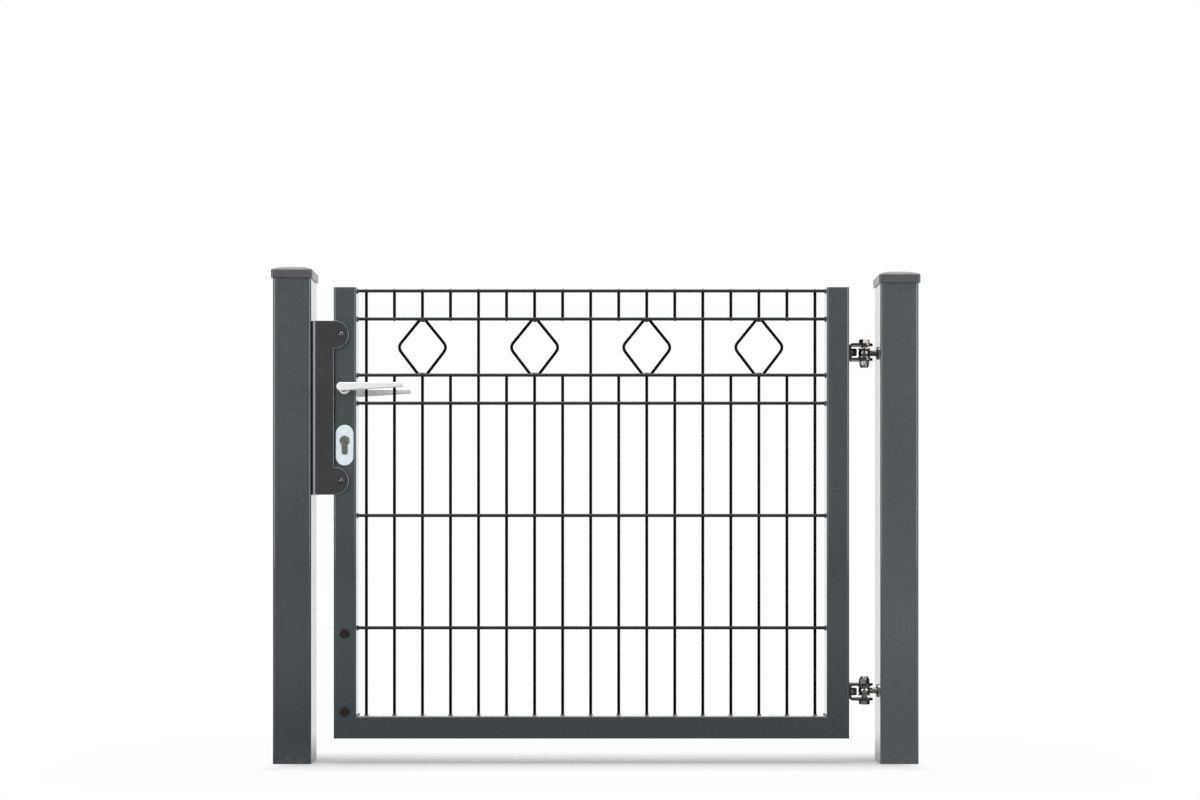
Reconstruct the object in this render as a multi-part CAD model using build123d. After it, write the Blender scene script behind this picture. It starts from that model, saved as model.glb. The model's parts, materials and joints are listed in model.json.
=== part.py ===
from build123d import *
import os

# Swing fence gate between two square posts, in millimetres. X runs to the right as seen from the
# front, Y away from the viewer and Z up. The origin is the centre of the hinge post's foot.

# Posts
post_size = 68
post_wall = 3
post_corner = 5
hinge_post_over_leaf = 20.5
lock_post_over_leaf = 29
cap_overhang = 2.7
cap_top = 2.4
cap_side_height = 15.5
cap_edge_round = 2.5
cap_corner = 4
cap_crown = 8

# Leaf
leaf_width = 914
leaf_height = 800
ground_gap = 44
tube_size = 40
tube_wall = 2
tube_corner = 4
hinge_side_gap = 54
lock_side_gap = 39
leaf_y = -8
stile_cap_thickness = 2

# Wire mesh
wire_pitch = 50
upright_wire = 4.8
cross_wire = 6
wire_sides = 8
weld_depth = 0.8
top_wire_drop = 4
upright_projection = 0.9
narrow_band = 50
diamond_band = 100
wide_band = 200
diamond_pitches = 4
diamond_sharp_width = 86
diamond_bend = 9
diamond_flat = 14

# Hinges
pin_from_post = 25
upper_eye_below_leaf_top = 115
lower_eye_above_leaf_foot = 84
pin_radius = 5
eye_radius = 10.5
eye_thickness = 12
eye_round = 3
eyebolt_reach_in_post = 20
eyebolt_washer_radius = 11.3
eyebolt_washer_thickness = 2.4
weld_nut_radius = 8
weld_nut_length = 8
strap_width = 30
strap_thickness = 4
strap_bend = 7
clevis_height = 30
clevis_eye_offset = 1.6
pin_head_flats = 17
pin_head_height = 7.6
lock_nut_hex_height = 8
lock_nut_collar_height = 4
lock_nut_collar_radius = 7.6
pin_washer_radius = 11
pin_washer_thickness = 1.8
clevis_bolt_radius = 4
clevis_bolt_flats = 13
clevis_bolt_head = 7
clevis_bolt_reach = 14
clevis_bolt_washer_radius = 8
clevis_bolt_washer_thickness = 2
spring_washer_radius = 7
hex_chamfer = 1.2
hex_corner_turn = 30
pin_head_turn = 10
pin_nut_turn = -25

# Lock in the lock stile
spindle_below_leaf_top = 180
cylinder_spacing = 92
spindle_size = 8
spindle_depth_in_lever = 28
case_width = 15
case_depth = 34
case_height = 170
lock_centre_below_spindle = 34
forend_width = 22
forend_height = 220
forend_thickness = 2.5
forend_corner = 3.6
latch_above_spindle = 20
latch_size = 26
latch_width = 12
latch_bevel = 5
dead_bolt_below_spindle = 52
dead_bolt_size = 36
dead_bolt_width = 10
bolt_depth_in_case = 15
bolt_proud = 1
cylinder_radius = 8.5
cylinder_web = 10
cylinder_total_height = 33
cylinder_proud = 1.5
keyway_width = 1.8
keyway_height = 8
keyway_depth = 6
escutcheon_width = 31
escutcheon_height = 72
escutcheon_thickness = 2
escutcheon_round = 0.8
escutcheon_drop = 8

# Levers
lever_neck_depth = 15
lever_tip_depth = 8
lever_length = 108
lever_top_above_axis = 7
lever_thickness = 11
lever_stand_off = 41
lever_tip_round = 2.6
lever_edge_round = 2.2
neck_radius = 6.5
collar_radius = 10
collar_length = 5
collar_round = 1.6

# Hole plugs in the lock stile
upper_plug_above_leaf_foot = 187
lower_plug_above_leaf_foot = 48.5
plug_head_radius = 9
plug_head_height = 2.4
plug_stem_radius = 6.7
plug_stem_length = 8

# Strike plate, its keep and its stops
strike_over_forend = 44
sheet = 3
strike_bend = 8
strike_back_y = 30
strike_corner = 3
stile_to_strike = 2.5
lobe_radius = 24.5
strike_over_stile = 1.5
lobe_centre_over_stile = 3.3
stud_over_stile = 14.2
stud_head_radius = 5.5
stud_head_height = 3
stud_head_round = 2.4
stud_radius = 3
buffer_radius = 6.5
keep_gap = 9
keep_back_y = 20
keep_margin = 30
keep_opening_margin = 3
strike_screw_y = 25
strike_screw_inset = 40
screw_head_radius = 4.5
screw_head_height = 2.6
screw_radius = 2.5
screw_reach = 10

# Clearances
running_fit = 0.08
thread_fit = 0.05
hole_clearance = 0.3
face_clearance = 0.3
wall_hole_clearance = 0.5
overcut = 1

# Derived positions
pin_x = -post_size / 2 - pin_from_post
leaf_right = -post_size / 2 - hinge_side_gap
leaf_left = leaf_right - leaf_width
lock_stile_x = leaf_left + tube_size / 2
hinge_stile_x = leaf_right - tube_size / 2
lock_post_x = leaf_left - lock_side_gap - post_size / 2
lock_post_face = lock_post_x + post_size / 2
leaf_top = ground_gap + leaf_height
leaf_front = leaf_y - tube_size / 2
leaf_back = leaf_y + tube_size / 2
rail_top = ground_gap + tube_size
hinge_post_height = leaf_top + hinge_post_over_leaf
lock_post_height = leaf_top + lock_post_over_leaf
upper_eye_height = leaf_top - upper_eye_below_leaf_top
lower_eye_height = ground_gap + lower_eye_above_leaf_foot
upper_plug_height = ground_gap + upper_plug_above_leaf_foot
lower_plug_height = ground_gap + lower_plug_above_leaf_foot
spindle_height = leaf_top - spindle_below_leaf_top
cylinder_height = spindle_height - cylinder_spacing
lock_centre_height = spindle_height - lock_centre_below_spindle
latch_height = spindle_height + latch_above_spindle
dead_bolt_height = spindle_height - dead_bolt_below_spindle
strike_height = forend_height + 2 * strike_over_forend
strike_bottom = lock_centre_height - strike_height / 2
strike_back_face = leaf_front - stile_to_strike
strike_front_face = strike_back_face - sheet
strike_top = strike_bottom + strike_height
upper_lobe_height = strike_top - lobe_radius
lower_lobe_height = strike_bottom + lobe_radius
strike_screw_heights = (strike_bottom + strike_screw_inset, strike_top - strike_screw_inset)
stud_x = leaf_left + stud_over_stile
upright_wire_y = leaf_y + cross_wire / 2
cross_wire_y = upright_wire_y - (upright_wire + cross_wire) / 2 + weld_depth


def block(low, high):
    """Box between two opposite corners."""
    low, high = Vector(*low), Vector(*high)
    size = high - low
    return Pos((low + high) / 2) * Box(size.X, size.Y, size.Z)


def rod_x(radius, start, end, y, z):
    """Cylinder along X."""
    return Pos((start + end) / 2, y, z) * Rot(0, 90, 0) * Cylinder(radius, end - start)


def rod_y(radius, start, end, x, z):
    """Cylinder along Y."""
    return Pos(x, (start + end) / 2, z) * Rot(90, 0, 0) * Cylinder(radius, end - start)


def rod_z(radius, start, end, x, y):
    """Cylinder along Z."""
    return Pos(x, y, (start + end) / 2) * Cylinder(radius, end - start)


def slab(sketch, front, back):
    """Solid between two Y positions from a sketch drawn in X and Z."""
    return extrude(Plane.XZ.offset(-back) * sketch, back - front)


def square_tube(size, wall, corner, length):
    """Hollow tube with rounded corners, standing on the ground plane."""
    outer = RectangleRounded(size, size, corner)
    bore = size - 2 * wall
    return extrude(outer - RectangleRounded(bore, bore, corner - wall), length)


def end_rims(solid, axis, top=True):
    """Edges of the end face of a solid along an axis."""
    faces = solid.faces().sort_by(axis)
    return (faces[-1] if top else faces[0]).edges()


def hex_prism(flats, height):
    """Hexagon head standing on the ground plane, its upper corners turned off."""
    prism = extrude(RegularPolygon(flats / 2, 6, major_radius=False), height)
    turned = Pos(0, 0, height / 2) * Cylinder(flats / 3**0.5, height)
    turned = chamfer(turned.edges().sort_by(Axis.Z)[-1], hex_chamfer)
    return prism & turned


def washer(outer, bore, thickness):
    """Flat ring standing on the ground plane."""
    return extrude(Circle(outer) - Circle(bore), thickness)


def vault(half_width, rise):
    """Low crown over a square: two shallow arches crossing."""
    arch_radius = (half_width**2 + rise**2) / (2 * rise)
    arch = Circle(arch_radius) & Pos(0, arch_radius) * Rectangle(2 * half_width, 2 * rise)
    arch = Pos(0, rise - arch_radius) * arch
    along_y = slab(arch, -half_width, half_width)
    return along_y & Rot(0, 0, 90) * along_y


def post_cap():
    """Plastic cap with its post's top face on the ground plane."""
    size = post_size + 2 * cap_overhang
    inner = post_size + 2 * hole_clearance
    skirt = cap_side_height - cap_top
    rim = post_size / 2 - post_wall - hole_clearance
    body = Pos(0, 0, -skirt) * extrude(
        RectangleRounded(size, size, cap_corner), cap_side_height
    )
    body = fillet(end_rims(body, Axis.Z), cap_edge_round)
    flat = size / 2 - cap_edge_round
    body += Pos(0, 0, cap_top) * vault(flat, cap_crown)
    body -= Pos(0, 0, -skirt) * extrude(RectangleRounded(inner, inner, post_corner), skirt)
    return body - vault(rim, cap_crown)


def lock_post():
    """Post on the lock side, with clearance holes for the strike screws."""
    post = Pos(lock_post_x, 0, 0) * square_tube(post_size, post_wall, post_corner, lock_post_height)
    for z in strike_screw_heights:
        hole = screw_radius + hole_clearance
        post -= rod_x(hole, lock_post_face - 2 * post_wall, lock_post_face + overcut, strike_screw_y, z)
    return post


def hinge_post():
    """Post on the hinge side, with a weld nut inside for each eyebolt."""
    post = square_tube(post_size, post_wall, post_corner, hinge_post_height)
    inside = -post_size / 2 + post_wall
    for z in (upper_eye_height, lower_eye_height):
        post += rod_x(weld_nut_radius, inside, inside + weld_nut_length, leaf_y, z)
        bore = pin_radius + thread_fit
        post -= rod_x(bore, -post_size / 2 - overcut, inside + weld_nut_length + overcut, leaf_y, z)
    return post


def eyebolt(z):
    """Eye around the hinge pin with its shank screwed into the hinge post."""
    eye = Cylinder(eye_radius, eye_thickness)
    eye = fillet(eye.edges().filter_by(GeomType.CIRCLE), eye_round)
    eye = Pos(pin_x, leaf_y, z) * eye
    eye += rod_x(pin_radius, pin_x, -post_size / 2 + eyebolt_reach_in_post, leaf_y, z)
    return eye - rod_z(pin_radius + running_fit, z - eye_thickness, z + eye_thickness, pin_x, leaf_y)


def eyebolt_washer(z):
    """Washer under the eyebolt on the post's face."""
    ring = washer(eyebolt_washer_radius, pin_radius + hole_clearance, eyebolt_washer_thickness)
    return Pos(-post_size / 2, leaf_y, z) * Rot(0, -90, 0) * ring


def clevis(z):
    """Bent strap on the hinge stile with rounded ends around the pin, its middle at height z."""
    reach = pin_x - leaf_right
    length = reach + strap_width / 2
    inner_height = clevis_height - 2 * strap_thickness
    outer = Pos(length / 2, 0) * Rectangle(length, clevis_height)
    outer = fillet(outer.vertices().group_by(Axis.X)[0], strap_bend)
    inner = Pos(strap_thickness + length / 2, 0) * Rectangle(length, inner_height)
    inner = fillet(inner.vertices().group_by(Axis.X)[0], strap_bend - strap_thickness)
    strap = slab(outer - inner, -strap_width / 2, strap_width / 2)
    plan = Pos(reach / 2, 0) * Rectangle(reach, strap_width) + Pos(reach, 0) * Circle(strap_width / 2)
    strap &= Pos(0, 0, -clevis_height / 2) * extrude(plan, clevis_height)
    strap -= rod_z(pin_radius + hole_clearance, -clevis_height, clevis_height, reach, 0)
    strap -= rod_x(clevis_bolt_radius + hole_clearance, -overcut, strap_thickness + overcut, 0, 0)
    return Pos(leaf_right, leaf_y, z) * strap


def clevis_bolt(z):
    """Hex bolt with its washers, through the strap into the hinge stile."""
    seat = leaf_right + strap_thickness
    bolt = Rot(0, 0, hex_corner_turn) * hex_prism(clevis_bolt_flats, clevis_bolt_head)
    bolt = Pos(0, 0, 2 * clevis_bolt_washer_thickness) * bolt
    for lift, radius in enumerate((clevis_bolt_washer_radius, spring_washer_radius)):
        ring = washer(radius, clevis_bolt_radius, clevis_bolt_washer_thickness)
        bolt += Pos(0, 0, lift * clevis_bolt_washer_thickness) * ring
    bolt += rod_z(clevis_bolt_radius, -clevis_bolt_reach, 2 * clevis_bolt_washer_thickness, 0, 0)
    return Pos(seat, leaf_y, z) * Rot(0, 90, 0) * bolt


def pin_length():
    """Shank of the hinge pin from its head to just past the lock nut."""
    return clevis_height + lock_nut_hex_height + lock_nut_collar_height


def hinge_pin():
    """Hex bolt hanging from its head, whose underside is on the ground plane."""
    return hex_prism(pin_head_flats, pin_head_height) + rod_z(pin_radius, -pin_length(), 0, 0, 0)


def lock_nut():
    """Self-locking nut with its rounded collar, bearing face on the ground plane."""
    nut = hex_prism(pin_head_flats, lock_nut_hex_height)
    total = lock_nut_hex_height + lock_nut_collar_height
    collar = rod_z(lock_nut_collar_radius, 0, total, 0, 0)
    collar = fillet(collar.edges().sort_by(Axis.Z)[-1], lock_nut_collar_height / 2)
    return nut + collar - rod_z(pin_radius + thread_fit, -overcut, total + overcut, 0, 0)


def hinge_set(eye_height, upright):
    """Clevis, bolt, pin, nut and washers of one hinge; the pin's head is on top when upright."""
    side = 1 if upright else -1
    middle = eye_height + side * clevis_eye_offset
    head_seat = Pos(pin_x, leaf_y, middle + side * clevis_height / 2)
    nut_seat = Pos(pin_x, leaf_y, middle - side * clevis_height / 2)
    flip = Rot(0, 0, 0) if upright else Rot(180, 0, 0)
    bore = pin_radius + hole_clearance
    ring = washer(pin_washer_radius, bore, pin_washer_thickness)
    eye_top = eye_height + eye_thickness / 2 + face_clearance
    eye_bottom = eye_height - eye_thickness / 2 - face_clearance - pin_washer_thickness
    washers = Pos(pin_x, leaf_y, eye_top) * ring + Pos(pin_x, leaf_y, eye_bottom) * ring
    return {
        "clevis": clevis(middle),
        "clevis_bolt": clevis_bolt(middle),
        "hinge_pin": head_seat * flip * Rot(0, 0, pin_head_turn) * hinge_pin(),
        "pin_nut": nut_seat * flip * Rot(180, 0, pin_nut_turn) * lock_nut(),
        "pin_washers": washers,
    }


def stile(x, mitre_side):
    """Upright tube of the leaf, mitred at its foot towards the bottom rail."""
    tube = square_tube(tube_size, tube_wall, tube_corner, leaf_height - stile_cap_thickness)
    return Pos(x, leaf_y, ground_gap) * (tube - mitre_wedge(mitre_side))


def mitre_wedge(side):
    """Everything below the 45 degree mitre plane, which rises towards the given side."""
    half = tube_size / 2
    corners = [
        (-side * half, 0),
        (side * (half + tube_size), 2 * tube_size),
        (side * (half + tube_size), -tube_size),
        (-side * half, -tube_size),
    ]
    return slab(make_face(Polyline(*corners, close=True)), -tube_size, tube_size)


def bottom_rail():
    """Lower tube of the leaf, mitred at both ends."""
    tube = Rot(0, 90, 0) * square_tube(tube_size, tube_wall, tube_corner, leaf_width)
    tube = Pos(leaf_left, leaf_y, ground_gap + tube_size / 2) * tube
    for x, side in ((lock_stile_x, 1), (hinge_stile_x, -1)):
        tube &= mitre_keep(x, side)
    return tube


def mitre_keep(x, side):
    """The half space below one mitre plane, reaching across the whole leaf."""
    far = leaf_width
    start = x - side * tube_size / 2
    corners = [
        (start, ground_gap),
        (start + side * far, ground_gap + far),
        (start + side * far, ground_gap - tube_size),
        (start, ground_gap - tube_size),
    ]
    return slab(make_face(Polyline(*corners, close=True)), leaf_y - tube_size, leaf_y + tube_size)


def euro_profile(clearance=0.0):
    """Outline of the lock cylinder around its round centre, in X and Z."""
    drop = cylinder_total_height - cylinder_radius - cylinder_web / 2
    web = Pos(0, -drop / 2) * Rectangle(cylinder_web + 2 * clearance, drop)
    foot = Pos(0, -drop) * Circle(cylinder_web / 2 + clearance)
    return Circle(cylinder_radius + clearance) + web + foot


def at_cylinder(sketch):
    """Moves a sketch to the lock cylinder's round centre."""
    return Pos(lock_stile_x, cylinder_height) * sketch


def lock_stile():
    """Lock side stile with its cut-outs for forend, spindle, cylinder and plugs."""
    tube = stile(lock_stile_x, 1)
    gap = wall_hole_clearance
    low = lock_centre_height - case_height / 2 - gap
    high = lock_centre_height + case_height / 2 + gap
    half = case_width / 2 + gap
    tube -= block((leaf_left - overcut, leaf_y - half, low), (lock_stile_x, leaf_y + half, high))
    tube -= rod_y(neck_radius, leaf_front - overcut, leaf_back + overcut, lock_stile_x, spindle_height)
    tube -= slab(at_cylinder(euro_profile(gap)), leaf_front - overcut, leaf_back + overcut)
    for z in (upper_plug_height, lower_plug_height):
        hole = plug_stem_radius + hole_clearance
        tube -= rod_y(hole, leaf_front - overcut, leaf_y, lock_stile_x, z)
    return tube


def hinge_stile():
    """Hinge side stile with clearance holes for the clevis bolts."""
    tube = stile(hinge_stile_x, -1)
    for z in (upper_eye_height + clevis_eye_offset, lower_eye_height - clevis_eye_offset):
        tube -= rod_x(clevis_bolt_radius + hole_clearance, hinge_stile_x, leaf_right + overcut, leaf_y, z)
    return tube


def stile_cap(x):
    """Flat plate that closes a stile's top."""
    plate = extrude(RectangleRounded(tube_size, tube_size, tube_corner), stile_cap_thickness)
    return Pos(x, leaf_y, leaf_top - stile_cap_thickness) * plate


def wire_section(diameter):
    """Many-sided section of a wire."""
    return RegularPolygon(diameter / 2, wire_sides, major_radius=False, rotation=180 / wire_sides)


def upright(x, low, high):
    """Upright wire between two heights."""
    return Pos(x, upright_wire_y, low) * extrude(wire_section(upright_wire), high - low)


def cross_heights():
    """Heights of the cross wires from the top down."""
    heights = [leaf_top - top_wire_drop]
    for band in (narrow_band, diamond_band, narrow_band, wide_band, wide_band):
        heights.append(heights[-1] - band)
    return heights


def diamond(x, low, high):
    """One diamond of bent wire that fills the band between two cross wires."""
    middle = (low + high) / 2
    half_flat = diamond_flat / 2
    half_width = diamond_sharp_width / 2
    corners = [
        (half_flat, high),
        (half_width, middle),
        (half_flat, low),
        (-half_flat, low),
        (-half_width, middle),
        (-half_flat, high),
    ]
    centre = make_face(Polyline(*corners, close=True))
    centre = fillet(centre.vertices().group_by(Axis.X)[0], diamond_bend)
    centre = fillet(centre.vertices().sort_by(Axis.X)[-1], diamond_bend)
    half = upright_wire / 2
    ring = offset(centre, half) - offset(centre, -half)
    wire = slab(Pos(x, 0) * ring, upright_wire_y - half, upright_wire_y + half)
    return wire


def wire_mesh():
    """Uprights, cross wires and diamonds, fused where they cross."""
    heights = cross_heights()
    top = heights[0] + cross_wire / 2 + upright_projection
    inner_left = leaf_left + tube_size
    inner_width = leaf_width - 2 * tube_size
    count = round((inner_width - wire_pitch / 2) // wire_pitch) + 1
    first = inner_left + (inner_width - (count - 1) * wire_pitch) / 2
    bars = []
    for number in range(count):
        x = first + number * wire_pitch
        if number % diamond_pitches:
            bars.append(upright(x, heights[1], top))
            bars.append(upright(x, rail_top, heights[2]))
        else:
            bars.append(upright(x, rail_top, top))
        if number % diamond_pitches == diamond_pitches / 2:
            bars.append(diamond(x, heights[2], heights[1]))
    for z in heights:
        bar = Rot(0, 90, 0) * extrude(wire_section(cross_wire), inner_width)
        bars.append(Pos(inner_left, cross_wire_y, z) * bar)
    return bars[0].fuse(*bars[1:])


def lock_case():
    """Lock case behind the forend, with passages for bolts, spindle and cylinder."""
    half = case_width / 2
    low = lock_centre_height - case_height / 2
    high = lock_centre_height + case_height / 2
    case = block((leaf_left, leaf_y - half, low), (leaf_left + case_depth, leaf_y + half, high))
    for width, size, z in bolt_sizes():
        gap = hole_clearance
        case -= block(
            (leaf_left - overcut, leaf_y - width / 2 - gap, z - size / 2 - gap),
            (leaf_left + bolt_depth_in_case, leaf_y + width / 2 + gap, z + size / 2 + gap),
        )
    bore = spindle_size / 2**0.5 + wall_hole_clearance
    case -= rod_y(bore, leaf_front, leaf_back, lock_stile_x, spindle_height)
    return case - slab(at_cylinder(euro_profile(thread_fit)), leaf_front, leaf_back)


def bolt_sizes():
    """Width, height and centre height of the latch and of the dead bolt."""
    return (
        (latch_width, latch_size, latch_height),
        (dead_bolt_width, dead_bolt_size, dead_bolt_height),
    )


def forend():
    """Face plate of the lock on the outer face of the lock stile."""
    half = forend_width / 2
    low = lock_centre_height - forend_height / 2
    high = lock_centre_height + forend_height / 2
    front = leaf_left - forend_thickness
    plate = block((front, leaf_y - half, low), (leaf_left, leaf_y + half, high))
    plate = fillet(plate.edges().filter_by(Axis.X), forend_corner)
    for width, size, z in bolt_sizes():
        gap = hole_clearance
        plate -= block(
            (front - overcut, leaf_y - width / 2 - gap, z - size / 2 - gap),
            (leaf_left + overcut, leaf_y + width / 2 + gap, z + size / 2 + gap),
        )
    return plate


def lock_bolt(width, size, z, bevel=0.0):
    """Drawn back bolt, just proud of the forend; a bevel makes it the latch."""
    nose = leaf_left - forend_thickness - bolt_proud
    end = leaf_left + bolt_depth_in_case
    bolt = block((nose, leaf_y - width / 2, z - size / 2), (end, leaf_y + width / 2, z + size / 2))
    if bevel:
        edge = bolt.edges().filter_by(Axis.Z).group_by(Axis.X)[0].sort_by(Axis.Y)[0]
        bolt = chamfer(edge, bevel)
    return bolt


def escutcheon():
    """Oval plate around the cylinder on the front of the lock stile."""
    plate = Pos(0, -escutcheon_drop) * SlotOverall(escutcheon_height, escutcheon_width, rotation=90)
    face = leaf_front - escutcheon_thickness
    plate = slab(at_cylinder(plate), face, leaf_front)
    plate = fillet(end_rims(plate, Axis.Y, top=False), escutcheon_round)
    return plate - slab(at_cylinder(euro_profile(hole_clearance)), face - overcut, leaf_front + overcut)


def to_back(solid):
    """Mirror image on the back of the leaf."""
    return mirror(solid, Plane.XZ.offset(-leaf_y))


def lock_cylinder():
    """Profile cylinder through the lock stile with a keyway at each end."""
    front = leaf_front - escutcheon_thickness - cylinder_proud
    back = leaf_back + escutcheon_thickness + cylinder_proud
    body = slab(at_cylinder(euro_profile()), front, back)
    keyway = at_cylinder(SlotOverall(keyway_height, keyway_width, rotation=90))
    body -= slab(keyway, front - overcut, front + keyway_depth)
    return body - slab(keyway, back - keyway_depth, back + overcut)


def hole_plug(z):
    """Domed plug in the front wall of the lock stile."""
    head = rod_y(plug_head_radius, leaf_front - plug_head_height, leaf_front, lock_stile_x, z)
    head = fillet(end_rims(head, Axis.Y, top=False), plug_head_height - face_clearance)
    return head + rod_y(plug_stem_radius, leaf_front, leaf_front + plug_stem_length, lock_stile_x, z)


def spindle():
    """Square bar that joins the two levers."""
    half = spindle_size / 2
    reach = tube_size / 2 + face_clearance + spindle_depth_in_lever
    return block(
        (lock_stile_x - half, leaf_y - reach, spindle_height - half),
        (lock_stile_x + half, leaf_y + reach, spindle_height + half),
    )


def front_lever():
    """Lever with a level top edge and a grip that tapers towards its tip."""
    neck_round = lever_neck_depth / 2
    neck = Pos(0, lever_top_above_axis - neck_round) * Circle(neck_round)
    tip_x = lever_length - lever_tip_round
    tip_high = lever_top_above_axis - lever_tip_round
    tip_low = lever_top_above_axis - lever_tip_depth + lever_tip_round
    tips = [Pos(tip_x, z) * Circle(lever_tip_round) for z in (tip_high, tip_low)]
    grip = make_hull(neck.edges() + tips[0].edges() + tips[1].edges())
    grip_back = leaf_front - lever_stand_off
    grip = slab(Pos(lock_stile_x, spindle_height) * grip, grip_back - lever_thickness, grip_back)
    grip = fillet(grip.edges(), lever_edge_round)
    start = leaf_front - face_clearance
    shank = rod_y(neck_radius, grip_back - lever_edge_round, start, lock_stile_x, spindle_height)
    collar = rod_y(collar_radius, start - collar_length, start, lock_stile_x, spindle_height)
    collar = fillet(end_rims(collar, Axis.Y, top=False), collar_round)
    return grip + shank + collar - spindle()


def strike_section():
    """Section of the bent strike plate in X and Y."""
    turn_x = lock_post_face + strike_bend
    turn_y = strike_front_face + strike_bend
    edge = leaf_left + strike_over_stile
    front = Pos((turn_x + edge) / 2, strike_front_face + sheet / 2) * Rectangle(edge - turn_x, sheet)
    leg_length = strike_back_y - turn_y
    leg = Pos(lock_post_face + sheet / 2, turn_y + leg_length / 2) * Rectangle(sheet, leg_length)
    ring = Circle(strike_bend) - Circle(strike_bend - sheet)
    quarter = Pos(-strike_bend / 2, -strike_bend / 2) * Rectangle(strike_bend, strike_bend)
    return front + leg + Pos(turn_x, turn_y) * (ring & quarter)


def strike_plate():
    """Bent plate on the lock post with two lobes that stop the leaf from the front."""
    plate = Pos(0, 0, strike_bottom) * extrude(strike_section(), strike_height)
    for z in (upper_lobe_height, lower_lobe_height):
        lobe = Pos(leaf_left + lobe_centre_over_stile, z) * Circle(lobe_radius)
        plate += slab(lobe, strike_front_face, strike_back_face)
        hole = stud_radius + hole_clearance
        plate -= rod_y(hole, strike_front_face - overcut, strike_back_face + overcut, stud_x, z)
    back_corners = plate.edges().filter_by(Axis.X).group_by(Axis.Y)[-1]
    plate = fillet(back_corners, strike_corner)
    for z in strike_screw_heights:
        hole = screw_radius + hole_clearance
        plate -= rod_x(hole, lock_post_face - overcut, lock_post_face + sheet + overcut, strike_screw_y, z)
    return plate


def strike_keep():
    """Sheet behind the strike plate with the openings for latch and dead bolt."""
    low = strike_bottom + keep_margin
    high = strike_top - keep_margin
    web_face = leaf_left - keep_gap
    web = block((web_face - sheet, strike_back_face, low), (web_face, keep_back_y, high))
    flange_start = (lock_post_face + sheet, keep_back_y - sheet, low)
    keep = web + block(flange_start, (web_face - sheet, keep_back_y, high))
    for width, size, z in bolt_sizes():
        gap = keep_opening_margin
        keep -= block(
            (web_face - 2 * sheet, leaf_y - width / 2 - gap, z - size / 2 - gap),
            (web_face + overcut, leaf_y + width / 2 + gap, z + size / 2 + gap),
        )
    return keep


def stop_stud(z):
    """Domed stud through a lobe of the strike plate."""
    top = strike_front_face - stud_head_height
    head = rod_y(stud_head_radius, top, strike_front_face, stud_x, z)
    head = fillet(end_rims(head, Axis.Y, top=False), stud_head_round)
    return head + rod_y(stud_radius, strike_front_face, strike_back_face, stud_x, z)


def stop_buffer(z):
    """Rubber pad between a lobe and the leaf."""
    return rod_y(buffer_radius, strike_back_face, leaf_front - face_clearance, stud_x, z)


def strike_screw(z):
    """Pan head screw through the strike plate into the lock post."""
    seat = lock_post_face + sheet
    head = rod_x(screw_head_radius, seat, seat + screw_head_height, strike_screw_y, z)
    head = fillet(end_rims(head, Axis.X), screw_head_height / 2)
    return head + rod_x(screw_radius, lock_post_face - screw_reach, seat, strike_screw_y, z)


def build_parts():
    """All pieces by node name."""
    parts = {
        "lock_post": lock_post(),
        "hinge_post": hinge_post(),
        "lock_post_cap": Pos(lock_post_x, 0, lock_post_height) * post_cap(),
        "hinge_post_cap": Pos(0, 0, hinge_post_height) * post_cap(),
        "strike_plate": strike_plate(),
        "strike_keep": strike_keep(),
        "lock_stile": lock_stile(),
        "hinge_stile": hinge_stile(),
        "bottom_rail": bottom_rail(),
        "lock_stile_cap": stile_cap(lock_stile_x),
        "hinge_stile_cap": stile_cap(hinge_stile_x),
        "wire_mesh": wire_mesh(),
        "lock_case": lock_case(),
        "lock_forend": forend(),
        "latch_bolt": lock_bolt(latch_width, latch_size, latch_height, latch_bevel),
        "dead_bolt": lock_bolt(dead_bolt_width, dead_bolt_size, dead_bolt_height),
        "front_escutcheon": escutcheon(),
        "back_escutcheon": to_back(escutcheon()),
        "lock_cylinder": lock_cylinder(),
        "upper_hole_plug": hole_plug(upper_plug_height),
        "lower_hole_plug": hole_plug(lower_plug_height),
        "front_lever": front_lever(),
        "back_lever": to_back(front_lever()),
        "lever_spindle": spindle(),
    }
    stops = (("upper", upper_lobe_height), ("lower", lower_lobe_height))
    for level, z in stops:
        parts[f"{level}_stop_stud"] = stop_stud(z)
        parts[f"{level}_stop_buffer"] = stop_buffer(z)
    for level, z in zip(("lower", "upper"), strike_screw_heights):
        parts[f"{level}_strike_screw"] = strike_screw(z)
    for level, z in (("upper", upper_eye_height), ("lower", lower_eye_height)):
        parts[f"{level}_eyebolt"] = eyebolt(z)
        parts[f"{level}_eyebolt_washer"] = eyebolt_washer(z)
        for name, piece in hinge_set(z, level == "upper").items():
            parts[f"{level}_{name}"] = piece
    return parts


os.makedirs("parts", exist_ok=True)
for node, piece in build_parts().items():
    export_step(piece, f"parts/{node}.step")
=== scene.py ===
import json
import math
import random

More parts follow.
